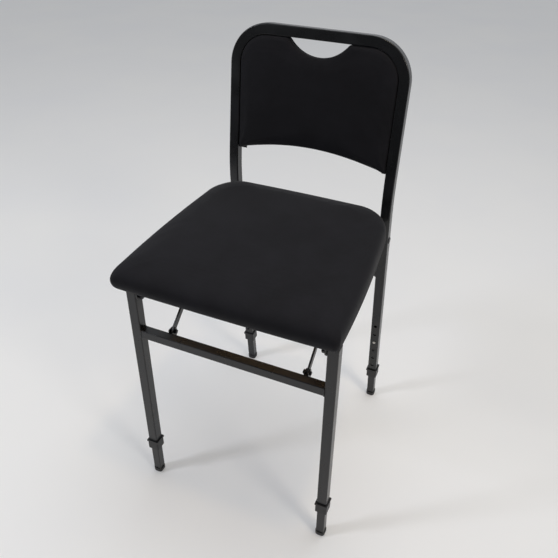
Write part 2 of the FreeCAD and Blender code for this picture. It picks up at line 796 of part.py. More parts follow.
def make_hinge_bracket(where, place):
    """Steel angle under the seat: a flange with two screws and a round-ended ear with the pivot hole."""
    label = "seat_bracket_" + where
    body = new_body(label)
    rise = size("seat_underside") - PIVOT_Z
    drop = size("bracket_width") / 2
    ear = new_sketch(body, label + "_ear", "YZ_Plane")
    add_rectangle(ear, "bracket_width", rise + drop, (0.0, (rise - drop) / 2))
    pad(body, label + "_ear_pad", ear, "bracket_thickness", reverse=True)
    lower = edges_along(body.Shape, X_AXIS, where=lambda p: p.z < 0)
    round_edges(body, label + "_ear_end", lower, drop - 0.1)
    flange_y = flange_middle(where)
    if flange_y:
        # the rear bracket reaches forward under the board with a shallow arm
        arm = new_sketch(body, label + "_arm", "YZ_Plane")
        reach = abs(flange_y) + drop
        add_rectangle(arm, reach, "arm_depth", (math.copysign(reach / 2, flange_y), rise - size("arm_depth") / 2))
        pad(body, label + "_arm_pad", arm, "bracket_thickness", reverse=True)
        tail = edges_along(body.Shape, X_AXIS, where=lambda p: p.y * flange_y < 0 and p.z > rise - 1)
        round_edges(body, label + "_arm_end", tail, drop - 1)
    flange = new_sketch(body, label + "_flange", "XY_Plane", rise)
    add_rectangle(flange, "flange_reach", "bracket_width", (-size("flange_reach") / 2, flange_y))
    pad(body, label + "_flange_pad", flange, "bracket_thickness", reverse=True)
    pivot = new_sketch(body, label + "_pivot", "YZ_Plane")
    add_circle(pivot, "pivot_diameter + pivot_clearance")
    pocket(body, label + "_pivot_hole", pivot, "bracket_thickness + 1")
    holes = new_sketch(body, label + "_holes", "XY_Plane", rise)
    for x, y in flange_holes(where):
        add_circle(holes, "screw_diameter", (x, y))
    pocket(body, label + "_screw_holes", holes, "bracket_thickness + 1")
    keep(body, label, place)


def round_bar(radius, start_x, end_x, side, y, z):
    """A bar along X between two distances from the chair's middle plane."""
    return Part.makeCylinder(radius, end_x - start_x, Vector(side * start_x, y, z), X_AXIS * side)


def hexagon_nut(across, thickness, bore, start_x, side, y, z):
    """A hexagon nut on an axis along X."""
    corners = [
        Vector(0, across / math.sqrt(3) * math.cos(a), across / math.sqrt(3) * math.sin(a))
        for a in (math.radians(60 * turn) for turn in range(7))
    ]
    prism = Part.Face(Part.makePolygon(corners)).extrude(X_AXIS * side * thickness)
    prism.translate(Vector(side * start_x, y, z))
    return prism.cut(round_bar(bore / 2, start_x - 1, start_x + thickness + 1, side, y, z))


def make_hinge_pins():
    """Pivot studs, washers and lock nuts of the seat's four hinges."""
    radius = size("pivot_diameter") / 2
    ear = size("bracket_thickness")
    washer = size("washer_thickness")
    nut = size("nut_thickness")
    for end in ("front", "back"):
        half = size(end + "_frame_half")
        y = FRONT_LEG_Y if end == "front" else BACK_PIVOT_Y
        face = half - size("tube_width")
        nut_start = face - washer - ear - 0.1 - nut
        washers, nuts = [], []
        for side_name, side in SIDES.items():
            # the front stud's head is inside the leg tube, the back one's is a low dome outside it
            head_start = face + size("tube_wall") if end == "front" else half
            shank = round_bar(radius, nut_start - 1, head_start, side, y, PIVOT_Z)
            head = round_bar(size("stud_head") / 2, head_start, head_start + 1.4, side, y, PIVOT_Z)
            outer = [e for e in head.Edges if abs(e.BoundBox.Center.x) > head_start + 1.3]
            head = head.makeChamfer(0.7, outer)
            finished(shank.fuse(head).removeSplitter(), f"{end}_hinge_stud_{side_name}")
            ring = round_bar(size("washer_diameter") / 2, face - washer, face, side, y, PIVOT_Z)
            washers.append(ring.cut(round_bar(radius, face - 2, face + 1, side, y, PIVOT_Z)))
            bore = size("pivot_diameter")
            nuts.append(hexagon_nut(size("nut_across"), nut, bore, nut_start, side, y, PIVOT_Z))
        group(washers, end + "_hinge_washers")
        group(nuts, end + "_hinge_nuts")


# Folding braces
BRACE_Y = size("front_face") + size("brace_back")
BRACE_Z = size("brace_height")


def brace_distance(side):
    """How far a brace stands from the chair's middle plane: both stand a little to the right."""
    return size("brace_side") + side * size("brace_shift")


def guide_distance(side):
    """How far the outer face of a brace's guide stands from the middle plane."""
    return brace_distance(side) - size("brace_thickness") / 2 - size("guide_gap")


def brace_pin_at(share):
    """Where a brace's pin stands under the seat, as Y and Z, after a share of the whole fold."""
    leg = math.radians(size("leg_fold_angle")) * share
    rise = math.radians(size("brace_rise") - size("brace_fold_angle") * share)
    y, z = BRACE_Y - FRONT_LEG_Y, BRACE_Z - PIVOT_Z
    foot_y = FRONT_LEG_Y + y * math.cos(leg) - z * math.sin(leg)
    foot_z = PIVOT_Z + y * math.sin(leg) + z * math.cos(leg)
    reach = size("brace_length")
    return foot_y + reach * math.cos(rise), foot_z + reach * math.sin(rise)


PIN_PATH = [brace_pin_at(step / 16) for step in range(17)]
GUIDE_FRONT = min(y for y, z in PIN_PATH) - 9
GUIDE_BACK = max(y for y, z in PIN_PATH) + 9
GUIDE_LOW = min(z for y, z in PIN_PATH) - 8


def make_clevis(side_name, side):
    """Small steel channel welded behind the crossbar, with two ears for the brace's bolt."""
    label = "brace_clevis_" + side_name
    body = new_body(label)
    inner = size("brace_thickness") / 2 + size("clevis_gap")
    outer = inner + size("clevis_wall")
    back_of_bar = size("bar_width") - size("brace_back")
    rear = size("brace_depth") / 2 + 1
    low = size("bar_top") - size("bar_width") + 4 - BRACE_Z
    high = size("brace_depth") / 2 + 1
    block = new_sketch(body, label + "_block", "XY_Plane", low)
    add_rectangle(block, 2 * outer, rear - back_of_bar, (0.0, (rear + back_of_bar) / 2))
    pad(body, label + "_block_pad", block, high - low)
    ends = edges_along(body.Shape, X_AXIS, where=lambda p: p.y > 0)
    round_edges(body, label + "_ear_ends", ends, 4.5)
    gap = new_sketch(body, label + "_gap", "XY_Plane", low)
    base = back_of_bar + size("clevis_base")
    add_rectangle(gap, 2 * inner, 40, (0.0, base + 20))
    pocket(body, label + "_channel", gap, 60, reverse=True)
    window = new_sketch(body, label + "_window", "XZ_Plane")
    above_bar = size("bar_top") - BRACE_Z
    add_rectangle(window, 2 * inner, high - above_bar + 20, (0.0, above_bar + (high - above_bar + 20) / 2))
    pocket(body, label + "_open_front", window, 40, both_ways=True)
    pivot = new_sketch(body, label + "_pivot", "YZ_Plane")
    add_circle(pivot, "brace_bolt + pivot_clearance")
    pocket(body, label + "_bolt_hole", pivot, 20, both_ways=True)
    keep(body, label, Placement(Vector(side * brace_distance(side), BRACE_Y, BRACE_Z), Rotation()))


def make_brace(side_name, side):
    """Flat steel bar on edge, round at both ends, with its bolt hole and the hole of its guide pin."""
    label = "brace_bar_" + side_name
    body = new_body(label)
    reach = size("brace_length")
    strip = new_sketch(body, label + "_strip", "YZ_Plane")
    add_rectangle(strip, "brace_length", "brace_depth", (reach / 2, 0.0))
    pad(body, label + "_bar", strip, "brace_thickness", both_ways=True)
    eyes = new_sketch(body, label + "_ends", "YZ_Plane")
    add_circle(eyes, "brace_depth")
    add_circle(eyes, "brace_depth", (reach, 0.0))
    pad(body, label + "_round_ends", eyes, "brace_thickness", both_ways=True)
    for hole_name, diameter, y in (("bolt", "brace_bolt + pivot_clearance", 0.0), ("pin", "brace_pin", reach)):
        hole = new_sketch(body, f"{label}_{hole_name}", "YZ_Plane")
        add_circle(hole, diameter, (y, 0.0))
        pocket(body, f"{label}_{hole_name}_hole", hole, 20, both_ways=True)
    turn = Rotation(X_AXIS, size("brace_rise"))
    keep(body, label, Placement(Vector(side * brace_distance(side), BRACE_Y, BRACE_Z), turn))
    # guide pin: through the bar and the guide's slot, with a head on the far side
    y, z = PIN_PATH[0]
    inner = guide_distance(side) - size("guide_thickness") - 1
    outer = brace_distance(side) + size("brace_thickness") / 2
    shank = round_bar(size("brace_pin") / 2, inner, outer, side, y, z)
    head = round_bar(size("brace_pin") / 2 + 2.5, inner - 2, inner, side, y, z)
    finished(shank.fuse(head).removeSplitter(), "brace_pin_" + side_name)


def make_brace_bolts():
    """The bolt of each brace, with its nut, through the ears of its clevis."""
    reach = size("brace_thickness") / 2 + size("clevis_gap") + size("clevis_wall")
    shapes = []
    for side in SIDES.values():
        inner, outer = brace_distance(side) - reach, brace_distance(side) + reach
        shank = round_bar(size("brace_bolt") / 2, inner - 4, outer, side, BRACE_Y, BRACE_Z)
        head = round_bar(3.8, outer, outer + 2.6, side, BRACE_Y, BRACE_Z)
        head = head.makeChamfer(1.0, [e for e in head.Edges if abs(e.BoundBox.Center.x) > outer + 2.5])
        shapes.append(shank.fuse(head).removeSplitter())
        shapes.append(hexagon_nut(7.5, 3.5, size("brace_bolt"), inner - 3.5, side, BRACE_Y, BRACE_Z))
    group(shapes, "brace_bolts")


def make_guide(side_name, side):
    """Steel angle under the seat with the curved slot that the brace's pin runs in."""
    thick = size("guide_thickness")
    top = size("seat_underside")
    outer = side * guide_distance(side)
    plate = Part.makeBox(
        thick, GUIDE_BACK - GUIDE_FRONT, top - GUIDE_LOW, Vector(-thick / 2, GUIDE_FRONT, GUIDE_LOW)
    )
    lower = [
        e for e in plate.Edges if e.BoundBox.ZMax < GUIDE_LOW + 0.1 and e.BoundBox.XLength > thick - 0.1
    ]
    plate = plate.makeFillet(7, lower).cut(slot_tool(thick + 2))
    plate.translate(Vector(outer - side * thick / 2, 0, 0))
    flange_x = outer if side < 0 else outer - 22
    flange = Part.makeBox(
        22, GUIDE_BACK - GUIDE_FRONT, size("bracket_thickness"), Vector(flange_x, GUIDE_FRONT, 0)
    )
    flange.translate(Vector(0, 0, top - size("bracket_thickness")))
    holes = [
        Part.makeCylinder(size("screw_diameter") / 2, 10, Vector(side * x, y, top - 5))
        for x, y in guide_holes(side)
    ]
    finished(plate.fuse(flange).cut(holes).removeSplitter(), "brace_guide_" + side_name)


def slot_tool(depth):
    """What the curved slot takes out: the pin's path, widened by half the slot's width each way."""
    half = size("slot_width") / 2
    path = [Vector(-depth / 2, y, z) for y, z in PIN_PATH]
    along = [(after - before).normalize() for before, after in zip(path[:1] + path[:-1], path[1:] + path[-1:])]
    across = [X_AXIS.cross(way) for way in along]
    walls = []
    for change in (half, -half):
        spots = [point + way * change for point, way in zip(path, across)]
        wall = Part.BSplineCurve()
        wall.interpolate(spots)
        walls.append(wall.toShape())
        walls.append(spots)
    upper, upper_spots, lower, lower_spots = walls
    first_cap = Part.Arc(upper_spots[0], path[0] - along[0] * half, lower_spots[0]).toShape()
    last_cap = Part.Arc(upper_spots[-1], path[-1] + along[-1] * half, lower_spots[-1]).toShape()
    wire = Part.Wire(Part.__sortEdges__([upper, first_cap, lower, last_cap]))
    return Part.Face(wire).extrude(X_AXIS * depth)


# Back rest, drawn in its own frame: X across, Y up the slope, Z forward
def pad_outline(inset):
    """The back pad seen from the front: a flat arch below, round top corners and the hand hole."""
    half = size("pad_half") - inset
    low = size("pad_bottom") + inset
    high = size("pad_top") - inset
    radius = size("pad_corner") - inset
    hand_half = size("hand_hole_width") / 2 + inset
    foot = 6
    turn = radius * (1 - math.sqrt(0.5))
    edges = []
    for side in (1, -1):
        edges += [
            Part.LineSegment(Vector(side * half, low + foot, 0), Vector(side * half, high - radius, 0)),
            Part.Arc(
                Vector(side * half, high - radius, 0),
                Vector(side * (half - turn), high - turn, 0),
                Vector(side * (half - radius), high, 0),
            ),
            Part.LineSegment(Vector(side * (half - radius), high, 0), Vector(side * hand_half, high, 0)),
            Part.Arc(
                Vector(side * half, low + foot, 0),
                Vector(side * (half - 1.8), low + 1.8, 0),
                Vector(side * (half - foot), low, 0),
            ),
        ]
    edges.append(
        Part.Arc(
            Vector(-hand_half, high, 0),
            Vector(0, high - size("hand_hole_depth"), 0),
            Vector(hand_half, high, 0),
        )
    )
    arch = Vector(0, size("pad_bottom") + size("pad_arch") + inset, 0)
    edges.append(Part.Arc(Vector(foot - half, low, 0), arch, Vector(half - foot, low, 0)))
    return Part.Face(Part.Wire(Part.__sortEdges__([e.toShape() for e in edges])))


def make_back_rest():
    """Foam pad on a covered panel, held in the frame by four tabs and their screws."""
    front = HALF_TUBE + size("pad_proud")
    seam = front - size("pad_thickness")
    back = seam - size("panel_thickness")
    slab = pad_outline(0).extrude(Z_AXIS * size("pad_thickness"))
    rim = [e for e in slab.Edges if e.BoundBox.ZMin > size("pad_thickness") - 0.1]
    slab = slab.makeFillet(size("pad_edge_round"), rim)
    slab.Placement = BACK_PLANE.multiply(Placement(Vector(0, 0, seam), Rotation()))
    finished(slab, "back_pad")
    panel = pad_outline(0.4).extrude(Z_AXIS * size("panel_thickness"))
    panel.Placement = BACK_PLANE.multiply(Placement(Vector(0, 0, back), Rotation()))
    screws = []
    inner_face = size("back_frame_half") - size("tube_width")
    for level, up in (("lower", size("pad_bottom") + 8), ("upper", size("pad_top") - 90)):
        for side_name, side in SIDES.items():
            middle = side * (inner_face - size("tab_width") / 2)
            corner = Vector(middle - size("tab_width") / 2, up - size("tab_height") / 2, 0)
            tab = Part.makeBox(size("tab_width"), size("tab_height"), size("tab_thickness"), corner)
            hole_y = up + size("tab_height") / 4
            hole = Part.makeCylinder(size("screw_diameter") / 2, 20, Vector(middle, hole_y, -5))
            tab = tab.cut(hole)
            depth = back - size("tab_thickness")
            tab.Placement = BACK_PLANE.multiply(Placement(Vector(0, 0, depth), Rotation()))
            finished(tab, f"back_tab_{level}_{side_name}")
            one = screw(size("tab_thickness") + 4.5)
            one.Placement = BACK_PLANE.multiply(Placement(Vector(middle, hole_y, depth), Rotation()))
            screws.append(one)
    group(screws, "back_screws")
    finished(panel.cut(screws), "back_panel")


# The whole chair
make_back_frame()
make_crossbars()
make_seat()
for bracket_name, bracket_place in bracket_places().items():
    make_hinge_bracket(bracket_name, bracket_place)
make_hinge_pins()
make_brace_bolts()
make_back_rest()
for side_name, side in SIDES.items():
    make_front_leg(side_name, side)
    make_leg_cap(side_name, side)
    make_clevis(side_name, side)
    make_brace(side_name, side)
    make_guide(side_name, side)
    for end in ("front", "back"):
        make_collar(end, side_name, side)
        make_inner_leg(end, side_name, side)
        make_glide(end, side_name, side)
        make_snap_clip(end, side_name, side)

doc.recompute()
for thing in doc.Objects:
    if {"Invalid", "Error"} & set(thing.State):
        raise RuntimeError(f"{thing.Label} failed: {thing.State}")
for thing in nodes:
    if thing.Shape.isNull() or not thing.Shape.isValid():
        raise RuntimeError(f"{thing.Label} has no sound shape")

os.makedirs("parts", exist_ok=True)
for thing in nodes:
    thing.Shape.exportStep(f"parts/{thing.Label}.step")
whole = Part.makeCompound([thing.Shape for thing in nodes]).optimalBoundingBox(False)
print(len(nodes), "sub-parts, whole chair", whole)
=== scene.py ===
# %% [markdown]
# # A folding choir chair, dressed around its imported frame
# The metal frame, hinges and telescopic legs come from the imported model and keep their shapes.
# This lesson gives each of them its real finish, and builds the soft parts that a CAD solid can't:
# the padded seat, the back pad and its covered panel. Everything is in metres, with the floor at
# Z = 0 and the front of the chair towards -Y.

# %% Load the frame
import json
import math

import bmesh
import bpy
from mathutils import Matrix, Vector, noise


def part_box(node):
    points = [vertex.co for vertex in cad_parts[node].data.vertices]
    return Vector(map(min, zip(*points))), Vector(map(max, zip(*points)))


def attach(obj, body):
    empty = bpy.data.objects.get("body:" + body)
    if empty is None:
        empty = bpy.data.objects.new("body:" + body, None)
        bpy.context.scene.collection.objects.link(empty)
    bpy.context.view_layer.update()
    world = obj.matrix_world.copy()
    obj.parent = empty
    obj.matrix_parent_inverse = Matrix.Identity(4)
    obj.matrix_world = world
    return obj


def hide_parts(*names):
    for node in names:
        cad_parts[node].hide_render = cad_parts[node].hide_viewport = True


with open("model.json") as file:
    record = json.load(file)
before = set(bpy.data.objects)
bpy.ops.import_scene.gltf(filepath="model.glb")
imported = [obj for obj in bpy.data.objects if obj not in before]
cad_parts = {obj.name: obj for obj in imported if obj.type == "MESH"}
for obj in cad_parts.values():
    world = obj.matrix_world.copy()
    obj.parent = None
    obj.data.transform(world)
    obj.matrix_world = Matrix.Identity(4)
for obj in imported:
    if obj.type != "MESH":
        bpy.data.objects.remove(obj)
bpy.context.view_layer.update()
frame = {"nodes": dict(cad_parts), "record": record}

# %% [markdown]
# ## Small helpers for materials
# A colour given here is an sRGB hex value, and a shader works in linear light, so one function
# converts it. A second function adds a shader node with its settings and its links in one call,
# which keeps each material short enough to read as a recipe.

# %% Colour and node helpers
def linear(hex_colour):
    """Turn an sRGB hex value such as #1D1E20 into the linear colour that a shader wants."""
    channels = [int(hex_colour[start:start + 2], 16) / 255 for start in (1, 3, 5)]
    bent = [c / 12.92 if c <= 0.04045 else ((c + 0.055) / 1.055) ** 2.4 for c in channels]
    return (*bent, 1.0)


def add_node(owner, kind, inputs=None, **settings):
    """Add a node to a material or the world. An input is a value, or an output socket to link."""
    tree = owner.node_tree
    node = tree.nodes.new(kind)
    for name, value in settings.items():
        setattr(node, name, value)
    for name, value in (inputs or {}).items():
        if isinstance(value, bpy.types.NodeSocket):
            tree.links.new(value, node.inputs[name])
        else:
            node.inputs[name].default_value = value
    return node


def start_material(name):
    """A new material, and the socket that gives each point's place on its own object."""
    material = bpy.data.materials.new(name)
    material.use_nodes = True
    material.node_tree.nodes.clear()
    return material, add_node(material, "ShaderNodeTexCoord").outputs["Object"]


def finish_material(material, shader):
    """Link a shader to the material's output and say so."""
    add_node(material, "ShaderNodeOutputMaterial", {"Surface": shader.outputs["BSDF"]})
    print("material:", material.name, len(material.node_tree.nodes), "nodes")
    return material


print("mid grey in linear light:", round(linear("#808080")[0], 3))

# %% [markdown]
# ## Powder-coated steel
# The tubes, brackets and braces are mild steel with a black polyester powder coat, baked on. The
# powder melts into a slightly wavy skin that painters call orange peel, so a reflection is broad
# and a little uneven. Real orange peel has waves of 1 to 2 mm. At this picture's scale one pixel is
# about 2 mm, so the waves are drawn 3 mm long to show at all. A second, larger noise stands for
# hands and cloth having polished some places, through the roughness, and for dust in others.

# %% Powder coat
ORANGE_PEEL = 0.003
HANDLED_PATCH = 0.06


def powder_coat(name, colour, dusty_colour, roughness):
    material, place = start_material(name)
    peel = add_node(material, "ShaderNodeTexNoise",
                    {"Vector": place, "Scale": 1 / ORANGE_PEEL, "Detail": 2.0})
    bump = add_node(material, "ShaderNodeBump",
                    {"Height": peel.outputs["Fac"], "Strength": 0.12, "Distance": 0.0004})
    patches = add_node(material, "ShaderNodeTexNoise",
                       {"Vector": place, "Scale": 1 / HANDLED_PATCH, "Detail": 3.0})
    polish = add_node(material, "ShaderNodeMapRange",
                      {"Value": patches.outputs["Fac"], "From Min": 0.3, "From Max": 0.7,
                       "To Min": roughness - 0.05, "To Max": roughness + 0.06})
    dust = add_node(material, "ShaderNodeMapRange",
                    {"Value": patches.outputs["Fac"], "From Min": 0.45, "From Max": 0.75})
    shade = add_node(material, "ShaderNodeMix", data_type="RGBA",
                     inputs={"Factor": dust.outputs["Result"],
                             "A": linear(colour), "B": linear(dusty_colour)})
    coat = add_node(material, "ShaderNodeBsdfPrincipled",
                    {"Base Color": shade.outputs["Result"], "Roughness": polish.outputs["Result"],
                     "IOR": 1.5, "Normal": bump.outputs["Normal"]})
    return finish_material(material, coat)


black_powder_coat = powder_coat("black_polyester_powder_coat", "#111214", "#1B1C1F", 0.28)

# %% [markdown]
# ## Stretch polyester cover
# The seat and back are wrapped in a smooth black polyester knit. Its yarns are about 0.5 mm apart,
# far under a pixel, so the knit is drawn 1.6 mm apart: three sets of fine waves, one for each
# direction that the cloth may face. Lint and wear lighten it in patches about 7 cm across. Fine
# fibres standing off the surface catch light at a glancing angle, which the sheen gives.

# %% Cover fabric
YARN_SPACING = 0.0016
BANDS_IN_A_METRE = 3.14    # about as many as a wave texture draws at scale 1
LINT_PATCH = 1 / 14


def knitted_cover(name, colour, worn_colour):
    material, place = start_material(name)
    waves = [
        add_node(material, "ShaderNodeTexWave", wave_type="BANDS", bands_direction=direction,
                 wave_profile="SIN",
                 inputs={"Vector": place, "Scale": 1 / YARN_SPACING / BANDS_IN_A_METRE,
                         "Distortion": 0.6, "Detail": 1.0, "Detail Scale": 2.0}).outputs["Fac"]
        for direction in ("X", "Y", "Z")]
    two = add_node(material, "ShaderNodeMath", {0: waves[0], 1: waves[1]}, operation="ADD")
    knit = add_node(material, "ShaderNodeMath", {0: two.outputs["Value"], 1: waves[2]},
                    operation="ADD")
    bump = add_node(material, "ShaderNodeBump",
                    {"Height": knit.outputs["Value"], "Strength": 0.25, "Distance": 0.0003})
    lint = add_node(material, "ShaderNodeTexNoise",
                    {"Vector": place, "Scale": 1 / LINT_PATCH, "Detail": 5.0, "Roughness": 0.6})
    worn = add_node(material, "ShaderNodeMapRange",
                    {"Value": lint.outputs["Fac"], "From Min": 0.35, "From Max": 0.8})
    shade = add_node(material, "ShaderNodeMix", data_type="RGBA",
                     inputs={"Factor": worn.outputs["Result"],
                             "A": linear(colour), "B": linear(worn_colour)})
    cloth = add_node(material, "ShaderNodeBsdfPrincipled",
                     {"Base Color": shade.outputs["Result"], "Roughness": 0.78, "IOR": 1.45,
                      "Specular IOR Level": 0.2, "Sheen Weight": 0.05, "Sheen Roughness": 0.4,
                      "Normal": bump.outputs["Normal"]})
    return finish_material(material, cloth)


black_knit = knitted_cover("black_polyester_knit", "#141418", "#1B1B20")

# %% [markdown]
# ## Moulded plastics
# The leg collars, the glides and the caps are injection-moulded polypropylene, and the hinge
# washers are moulded nylon. The mould is lightly sparked, which leaves a fine matt grain and a
# soft, waxy shine. Its grain of 0.3 mm is drawn at 1.2 mm here. Flow in the mould leaves the
# surface faintly cloudy, over about 17 mm.

# %% Polypropylene and nylon
MOULD_GRAIN = 0.0012
FLOW_CLOUD = 1 / 60


def moulded_plastic(name, colour, cloudy_colour, roughness):
    material, place = start_material(name)
    grain = add_node(material, "ShaderNodeTexVoronoi", {"Vector": place, "Scale": 1 / MOULD_GRAIN})
    bump = add_node(material, "ShaderNodeBump",
                    {"Height": grain.outputs["Distance"], "Strength": 0.15, "Distance": 0.0003})
    cloudy = add_node(material, "ShaderNodeTexNoise",
                      {"Vector": place, "Scale": 1 / FLOW_CLOUD, "Detail": 3.0})
    gloss = add_node(material, "ShaderNodeMapRange",
                     {"Value": cloudy.outputs["Fac"],
                      "To Min": roughness - 0.06, "To Max": roughness + 0.06})
    shade = add_node(material, "ShaderNodeMix", data_type="RGBA",
                     inputs={"Factor": cloudy.outputs["Fac"],
                             "A": linear(colour), "B": linear(cloudy_colour)})
    plastic = add_node(material, "ShaderNodeBsdfPrincipled",
                       {"Base Color": shade.outputs["Result"], "Roughness": gloss.outputs["Result"],
                        "IOR": 1.49, "Normal": bump.outputs["Normal"]})
    return finish_material(material, plastic)


black_polypropylene = moulded_plastic("black_moulded_polypropylene", "#131314", "#1B1B1C", 0.45)
nylon = moulded_plastic("black_nylon_washer", "#101011", "#1B1B1C", 0.5)

# %% [markdown]
# ## Metals of the small parts
# Screws, bolts, studs and nuts are steel with a black zinc finish: dark, but still a metal. The
# snap button is nickel-plated spring steel, the one bright spot on the chair. Both are fully
# metallic, so their colour is the colour of their reflection, and they keep the default IOR.
# Handling leaves fine scratches, which vary the gloss and darken the plating in places.

# %% Zinc and nickel
SCRATCHED_SHARE = 0.7    # how much of its colour the plating keeps where it is scratched


def plated_steel(name, colour, roughness, scratch_length):
    material, place = start_material(name)
    scratches = add_node(material, "ShaderNodeTexNoise",
                         {"Vector": place, "Scale": 1 / scratch_length, "Detail": 4.0})
    gloss = add_node(material, "ShaderNodeMapRange",
                     {"Value": scratches.outputs["Fac"],
                      "To Min": roughness - 0.08, "To Max": roughness + 0.1})
    darker = tuple(SCRATCHED_SHARE * c for c in linear(colour)[:3]) + (1.0,)
    shade = add_node(material, "ShaderNodeMix", data_type="RGBA",
                     inputs={"Factor": scratches.outputs["Fac"], "A": linear(colour), "B": darker})
    metal = add_node(material, "ShaderNodeBsdfPrincipled",
                     {"Base Color": shade.outputs["Result"], "Roughness": gloss.outputs["Result"],
                      "Metallic": 1.0})
    return finish_material(material, metal)


black_zinc = plated_steel("black_zinc_plated_steel", "#3A3A3D", 0.38, 0.002)
nickel_plate = plated_steel("nickel_plated_spring_steel", "#D9D6CF", 0.28, 0.001)

# %% [markdown]
# ## Birch plywood
# The seat's board is birch plywood, seen only from below, between the turned-in edges of the
# cover. Rotary-cut veneer has long, soft figure along the board, drawn about 110 mm long and 12 mm
# wide here, with fine pores 11 mm long and just over 1 mm wide.

# %% Plywood
FIGURE_LENGTH = 1 / 9
PORE_LENGTH = 1 / 90
LONGER_THAN_WIDE = 9.0


def birch_plywood(name, early_wood, late_wood):
    material, place = start_material(name)
    stretch = add_node(material, "ShaderNodeMapping",
                       {"Vector": place, "Scale": (1.0, LONGER_THAN_WIDE, LONGER_THAN_WIDE)})
    figure = add_node(material, "ShaderNodeTexNoise",
                      {"Vector": stretch.outputs["Vector"], "Scale": 1 / FIGURE_LENGTH,
                       "Detail": 6.0, "Distortion": 0.4})
    pores = add_node(material, "ShaderNodeTexNoise",
                     {"Vector": stretch.outputs["Vector"], "Scale": 1 / PORE_LENGTH, "Detail": 2.0})
    colours = add_node(material, "ShaderNodeValToRGB", {"Fac": figure.outputs["Fac"]})
    for stop, position, colour in zip(colours.color_ramp.elements, (0.3, 0.7), (late_wood, early_wood)):
        stop.position = position
        stop.color = linear(colour)
    bump = add_node(material, "ShaderNodeBump",
                    {"Height": pores.outputs["Fac"], "Strength": 0.2, "Distance": 0.0005})
    wood = add_node(material, "ShaderNodeBsdfPrincipled",
                    {"Base Color": colours.outputs["Color"], "Roughness": 0.62, "IOR": 1.5,
                     "Normal": bump.outputs["Normal"]})
    return finish_material(material, wood)


plywood = birch_plywood("birch_plywood", early_wood="#D8B685", late_wood="#B58B5E")

# %% [markdown]
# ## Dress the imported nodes
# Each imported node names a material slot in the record. One table goes from slot to finish, so a
# new bolt or bracket in the CAD is dressed without a change here.

# %% Give every node its finish
FINISH_OF_SLOT = {
    "powder_coat": black_powder_coat,
    "upholstery": black_knit,
    "plywood": plywood,
    "moulded_plastic": black_polypropylene,
    "black_fasteners": black_zinc,
    "nylon": nylon,
    "spring_steel": nickel_plate,
}
for subpart in frame["record"]["subparts"]:
    node_object = frame["nodes"][subpart["node"]]
    node_object.data.materials.clear()
    node_object.data.materials.append(FINISH_OF_SLOT[subpart["material_slot"]])

# %% [markdown]
# ## Outlines made of runs and arcs
# Each soft part is drawn flat first, as four curves that meet at its corners. A corner is an arc,
# and a side is a run that may bow a little, because a stretched cover pulls a straight edge out.

# %% Curves of an outline
def arc(centre, radius, start_degrees, end_degrees, steps):
    """Points on a round corner, both ends included."""
    points = []
    for step in range(steps + 1):
        angle = math.radians(start_degrees + (end_degrees - start_degrees) * step / steps)
        points.append(Vector((centre[0] + radius * math.cos(angle),
                              centre[1] + radius * math.sin(angle))))
    return points


def bow(start, middle_shift, end, steps):
    """A nearly straight run from start to end that bulges by middle_shift at its middle."""
    points = []
    for step in range(steps + 1):
        share = step / steps
        points.append(start.lerp(end, share) + middle_shift * (4 * share * (1 - share)))
    return points


def chain(*runs):
    """Join runs of points, leaving out each repeated end."""
    points = list(runs[0])
    for run in runs[1:]:
        points += run[1:]
    return points


STRAIGHT = Vector((0, 0))
print("a quarter arc in 4 steps has", len(arc((0, 0), 1, 0, 90, 4)), "points")

# %% [markdown]
# ## Fill the outline with even squares
# One many-sided face could fill an outline, but it would neither swell nor subdivide well. A grid
# between the four curves blends them across the middle instead, so the squares stay even, which the
# cloth simulation and the subdivision both need. The same code makes the square seat and the
# arched back.

# %% Patch
def patch_between(bottom, right, top, left):
    """Rows of points between four curves; bottom and top run left to right, the others upwards."""
    columns, rows = len(bottom) - 1, len(left) - 1
    grid = []
    for row in range(rows + 1):
        v = row / rows
        line = []
        for column in range(columns + 1):
            u = column / columns
            between_rows = bottom[column] * (1 - v) + top[column] * v
            between_columns = left[row] * (1 - u) + right[row] * u
            corners = (bottom[0] * (1 - u) * (1 - v) + bottom[-1] * u * (1 - v)
                       + top[0] * (1 - u) * v + top[-1] * u * v)
            line.append(between_rows + between_columns - corners)
        grid.append(line)
    return grid


def rim_of(columns, rows):
    """The grid places round the edge of a patch, anticlockwise."""
    places = [(0, column) for column in range(columns)]
    places += [(row, columns) for row in range(rows)]
    places += [(rows, column) for column in range(columns, 0, -1)]
    places += [(row, 0) for row in range(rows, 0, -1)]
    return places


print("a patch of 4 by 3 squares has", len(rim_of(4, 3)), "places on its rim")

# %% [markdown]
# ## One way to build all three soft parts
# A pad is two grids of the same outline, front and back, joined by rows that follow its rim. Each
# row stands in from the widest outline by its inset and lies at its own height, so a short table of
# insets and heights is the pad's whole profile. The front grid also swells towards its middle.

# %% Pad
CROWN_POWER = 2.6    # 2 gives a dome, and more keeps the middle flat and rounds the edges


def object_from(builder, name):
    """Turn a bmesh into a smooth-shaded object in the scene."""
    bmesh.ops.recalc_face_normals(builder, faces=builder.faces)
    mesh = bpy.data.meshes.new(name)
    builder.to_mesh(mesh)
    builder.free()
    mesh.polygons.foreach_set("use_smooth", [True] * len(mesh.polygons))
    piece = bpy.data.objects.new(name, mesh)
    bpy.context.scene.collection.objects.link(piece)
    print("piece:", name, len(mesh.polygons), "faces")
    return piece


